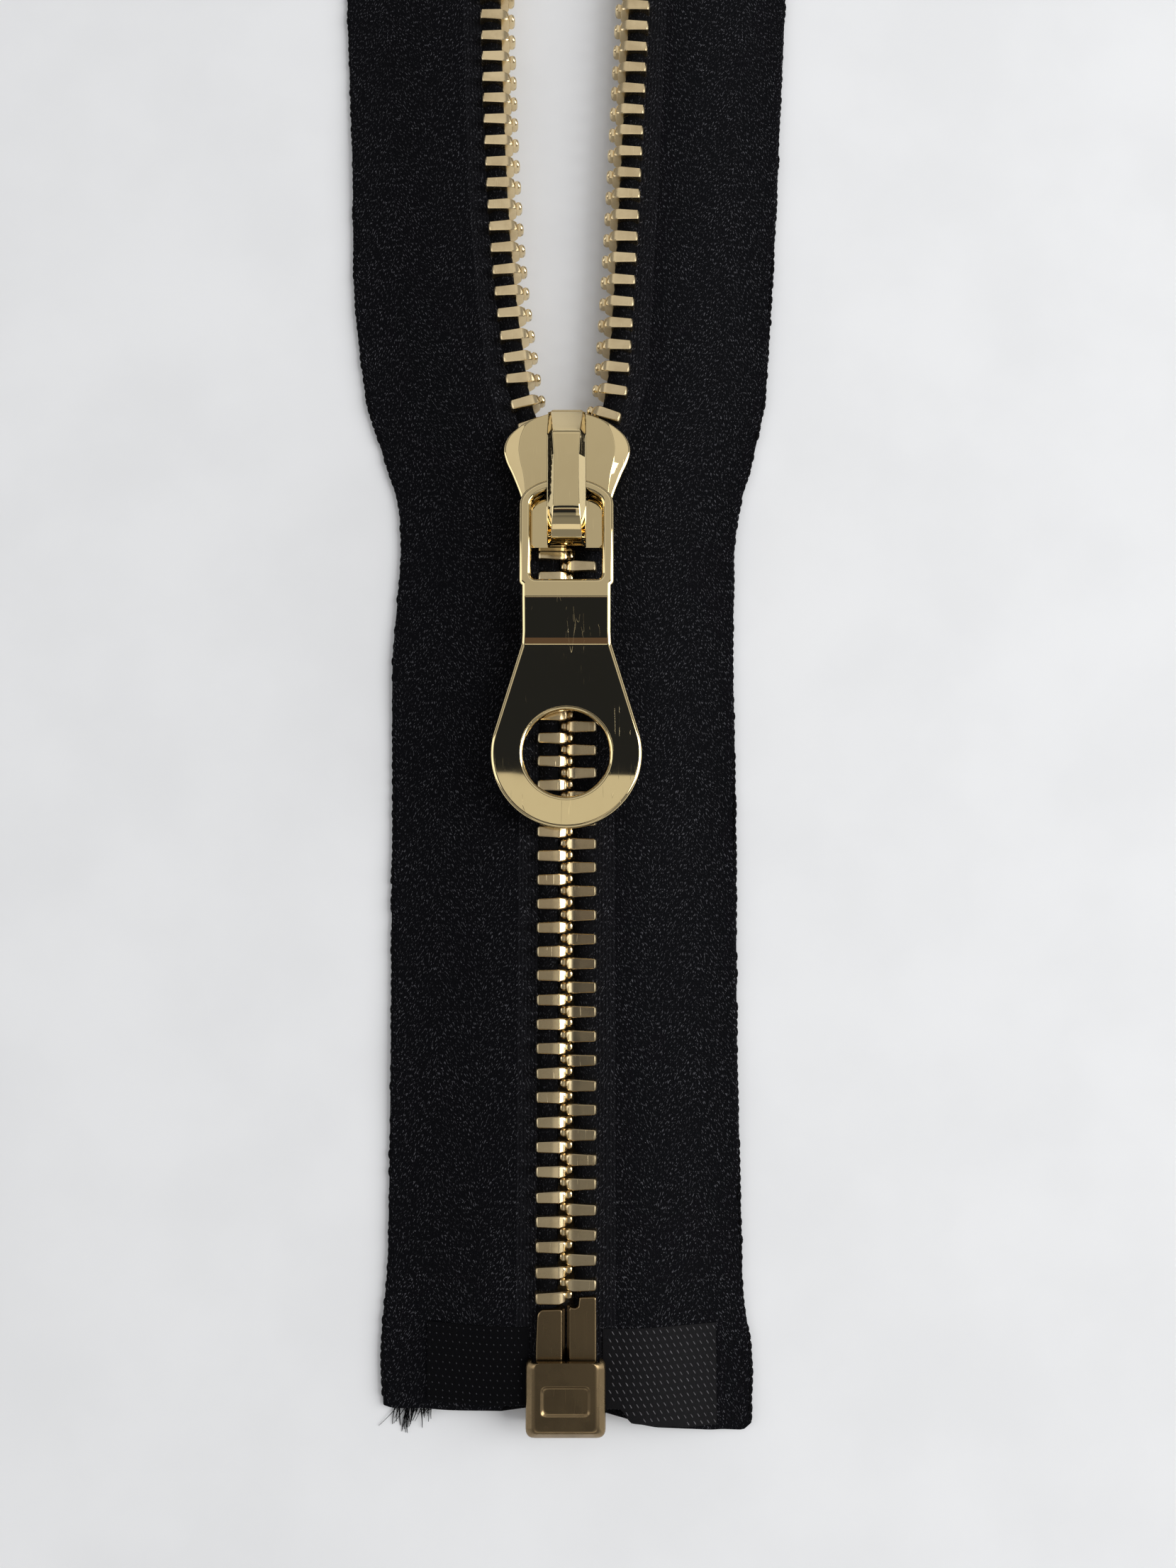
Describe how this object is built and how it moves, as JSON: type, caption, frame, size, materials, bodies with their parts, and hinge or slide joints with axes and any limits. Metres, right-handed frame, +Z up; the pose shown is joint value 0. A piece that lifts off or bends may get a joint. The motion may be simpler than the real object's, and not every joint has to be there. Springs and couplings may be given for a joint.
{
  "type": "separating metal zipper",
  "caption": "Separating metal zipper with two woven tapes, clamped teeth, a box and pins, and an auto-lock slider with a ring pull.",
  "frame": {"origin": "middle of the length and width, on the surface the zipper lies on", "axes": "+X across the chain to the retainer pin's side, +Y along the chain to the open end, +Z up out of the face with the pull"},
  "size_m": [0.0469, 0.162, 0.0084],
  "materials": {
    "tape": "woven black herringbone, matt",
    "film": "embossed, slightly shiny",
    "teeth": "polished with fine scratches",
    "aged_brass": "darkened and polished",
    "slider_gold": "mirror, light gold",
    "spring_steel": "satin"
  },
  "bodies": {
    "right_half": {"right_tape_foot": "tape", "right_tape_bend": "tape", "right_tape_upper": "tape", "right_teeth_bend": "teeth", "right_film_front": "film", "right_film_back": "film", "right_teeth_upper": "teeth", "right_top_stop": "teeth", "retainer_pin": "aged_brass", "retainer_box": "aged_brass"},
    "right_run": {"right_tape_run": "tape", "right_teeth_run": "teeth"},
    "left_half": {"left_tape_foot": "tape", "left_tape_bend": "tape", "left_tape_upper": "tape", "left_teeth_bend": "teeth", "left_film_front": "film", "left_film_back": "film", "left_teeth_upper": "teeth", "left_top_stop": "teeth", "insertion_pin": "aged_brass"},
    "left_run": {"left_tape_run": "tape", "left_teeth_run": "teeth"},
    "slider": {"slider_body": "slider_gold", "slider_crown": "slider_gold"},
    "pull": {"pull_tab": "slider_gold"},
    "pawl": {"lock_pawl": "spring_steel"}
  },
  "joints": [
    {"name": "slider_travel", "type": "slide", "parent": "right_half", "child": "slider", "axis": [0, -1, 0], "range_m": [0, 0.0751], "deforming": ["left_teeth_run", "right_teeth_run", "left_tape_run", "right_tape_run", "left_teeth_bend", "right_teeth_bend", "left_tape_bend", "right_tape_bend"]},
    {"name": "pin_pull_out", "type": "slide", "parent": "right_half", "child": "left_half", "axis": [0, 1, 0], "range_m": [0, 0.00675]},
    {"name": "right_row_parts", "type": "slide", "parent": "right_half", "child": "right_run", "axis": [1, 0, 0], "range_m": [0, 0.0029]},
    {"name": "left_row_parts", "type": "slide", "parent": "left_half", "child": "left_run", "axis": [-1, 0, 0], "range_m": [0, 0.0029]},
    {"name": "pull_swing", "type": "hinge", "parent": "slider", "child": "pull", "pos_m": [0, 0.0072, 0.00595], "axis": [-1, 0, 0], "range_deg": [0, 165]},
    {"name": "pawl_lift", "type": "slide", "parent": "slider", "child": "pawl", "axis": [0, 0, 1], "range_m": [0, 0.0004]}
  ],
  "couplings": [
    {"joint": "right_row_parts", "follows": "slider_travel", "ratio": 0.038615},
    {"joint": "left_row_parts", "follows": "slider_travel", "ratio": 0.038615},
    {"joint": "pawl_lift", "follows": "pull_swing", "m_per_rad": 0.000138}
  ]
}
